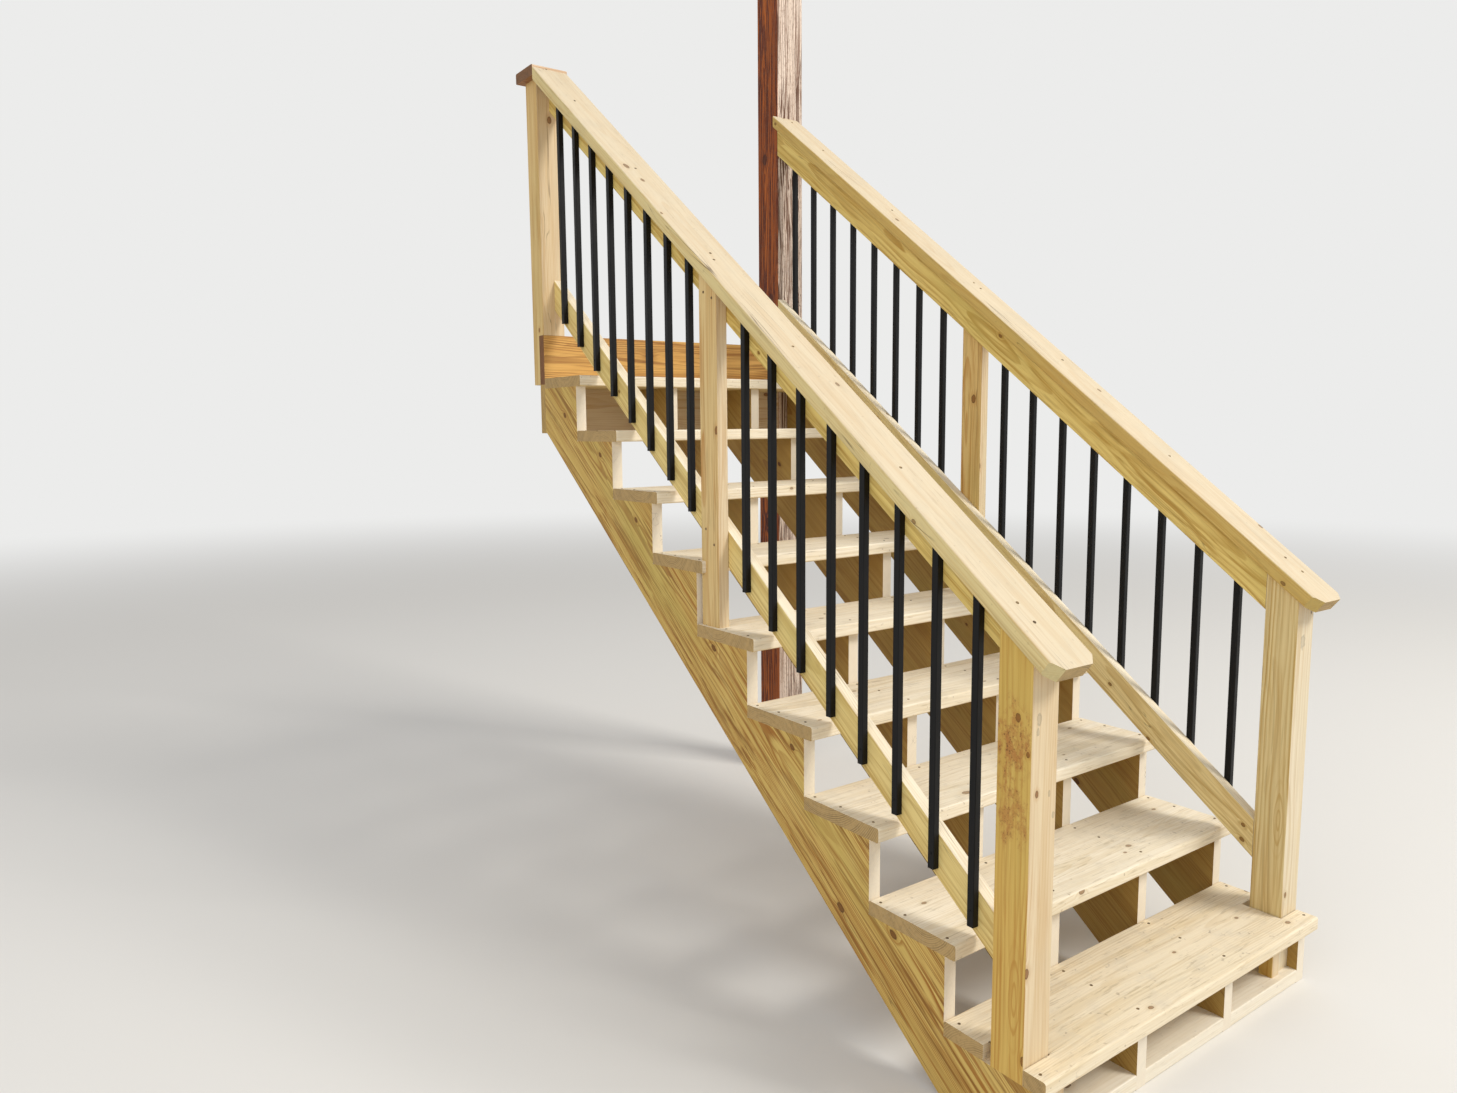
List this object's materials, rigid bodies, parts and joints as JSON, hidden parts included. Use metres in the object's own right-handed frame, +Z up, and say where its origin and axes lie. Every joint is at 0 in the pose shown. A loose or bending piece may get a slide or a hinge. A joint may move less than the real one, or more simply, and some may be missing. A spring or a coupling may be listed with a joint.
{
  "type": "wooden deck stairs",
  "caption": "Straight timber stair from the ground up to a raised deck, with open risers, sawtooth stringers, posts, rails, sloping caps and square black metal balusters.",
  "frame": {"origin": "middle of the back face of the hanger board, which bears flat on the deck's edge", "axes": "+X to the right across the stair as one looks up it, +Y up the stair towards the deck and out of that back face, +Z up; the ground is 1.659 m below the origin"},
  "size_m": [1.2955, 2.4766, 3.49],
  "materials": {
    "stringer_left": "new treated pine, planed, unpainted",
    "stringer_mid_left": "new treated pine, planed, unpainted",
    "stringer_mid_right": "new treated pine, planed, unpainted",
    "stringer_right": "new treated pine, planed, unpainted",
    "tread_1": "new treated pine, planed, unpainted",
    "tread_2": "new treated pine, planed, unpainted",
    "tread_3": "new treated pine, planed, unpainted",
    "tread_4": "new treated pine, planed, unpainted",
    "tread_5": "new treated pine, planed, unpainted",
    "tread_6": "new treated pine, planed, unpainted",
    "tread_7": "new treated pine, planed, unpainted",
    "tread_8": "new treated pine, planed, unpainted",
    "tread_9": "new treated pine, planed, unpainted",
    "foot_plate_left": "new treated pine, planed, unpainted",
    "foot_plate_mid": "new treated pine, planed, unpainted",
    "foot_plate_right": "new treated pine, planed, unpainted",
    "foot_blocks": "new treated pine, planed, unpainted",
    "rim_board": "older treated pine, weathered orange brown",
    "hanger_board": "new treated pine, planed, unpainted",
    "post_bottom_left": "new treated pine, planed, unpainted",
    "post_bottom_right": "new treated pine, planed, unpainted",
    "post_mid_left": "new treated pine, planed, unpainted",
    "post_mid_right": "new treated pine, planed, unpainted",
    "post_top_left": "new treated pine, planed, unpainted",
    "post_top_right": "old treated pine, weathered reddish brown",
    "rail_top_left": "new treated pine, planed, unpainted",
    "rail_top_right": "new treated pine, planed, unpainted",
    "rail_bottom_left": "new treated pine, planed, unpainted",
    "rail_bottom_right": "new treated pine, planed, unpainted",
    "cap_left": "new treated pine, planed, unpainted",
    "cap_right": "new treated pine, planed, unpainted",
    "cap_level": "older treated pine, weathered orange brown",
    "balusters_left_lower": "satin black powder coat",
    "balusters_left_upper": "satin black powder coat",
    "balusters_right_lower": "satin black powder coat",
    "balusters_right_upper": "satin black powder coat"
  },
  "bodies": {
    "root": {"stringer_left": "stringer_left", "stringer_mid_left": "stringer_mid_left", "stringer_mid_right": "stringer_mid_right", "stringer_right": "stringer_right", "tread_1": "tread_1", "tread_2": "tread_2", "tread_3": "tread_3", "tread_4": "tread_4", "tread_5": "tread_5", "tread_6": "tread_6", "tread_7": "tread_7", "tread_8": "tread_8", "tread_9": "tread_9", "foot_plate_left": "foot_plate_left", "foot_plate_mid": "foot_plate_mid", "foot_plate_right": "foot_plate_right", "foot_blocks": "foot_blocks", "rim_board": "rim_board", "hanger_board": "hanger_board", "post_bottom_left": "post_bottom_left", "post_bottom_right": "post_bottom_right", "post_mid_left": "post_mid_left", "post_mid_right": "post_mid_right", "post_top_left": "post_top_left", "post_top_right": "post_top_right", "rail_top_left": "rail_top_left", "rail_top_right": "rail_top_right", "rail_bottom_left": "rail_bottom_left", "rail_bottom_right": "rail_bottom_right", "cap_left": "cap_left", "cap_right": "cap_right", "cap_level": "cap_level", "balusters_left_lower": "balusters_left_lower", "balusters_left_upper": "balusters_left_upper", "balusters_right_lower": "balusters_right_lower", "balusters_right_upper": "balusters_right_upper"}
  },
  "joints": []
}
